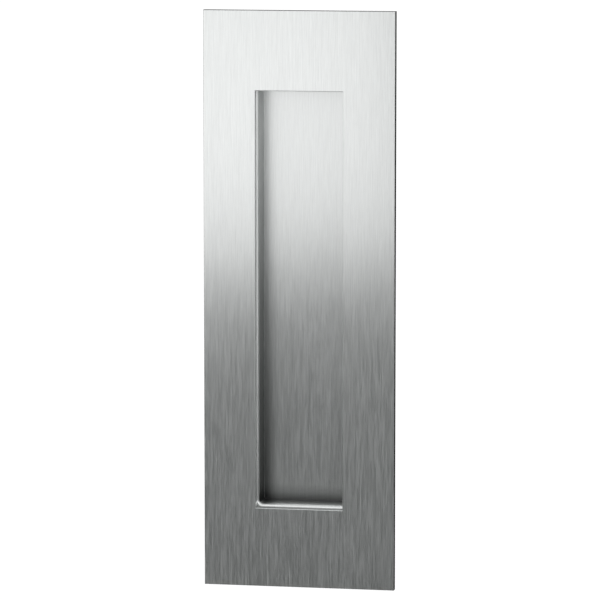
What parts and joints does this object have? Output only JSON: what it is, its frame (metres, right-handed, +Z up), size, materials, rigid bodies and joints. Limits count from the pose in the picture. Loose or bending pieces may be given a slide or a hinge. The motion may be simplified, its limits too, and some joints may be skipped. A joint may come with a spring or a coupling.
{
  "type": "pocket door pull",
  "caption": "Rectangular flush pull for a pocket door: a flat brushed steel plate with a sharp-cornered window and a thin rounded tray welded behind it.",
  "frame": {"origin": "middle of the window, in the plane of the plate's back, which is the face of the door that the pull is let into", "axes": "+Z up the door along the plate's height, +X across the plate, +Y into the door, so the front of the pull faces -Y"},
  "size_m": [0.05, 0.01, 0.15],
  "materials": {
    "brushed_steel": "satin, brushed along the height"
  },
  "bodies": {
    "root": {"face_plate": "brushed_steel", "recess_tray": "brushed_steel"}
  },
  "joints": []
}
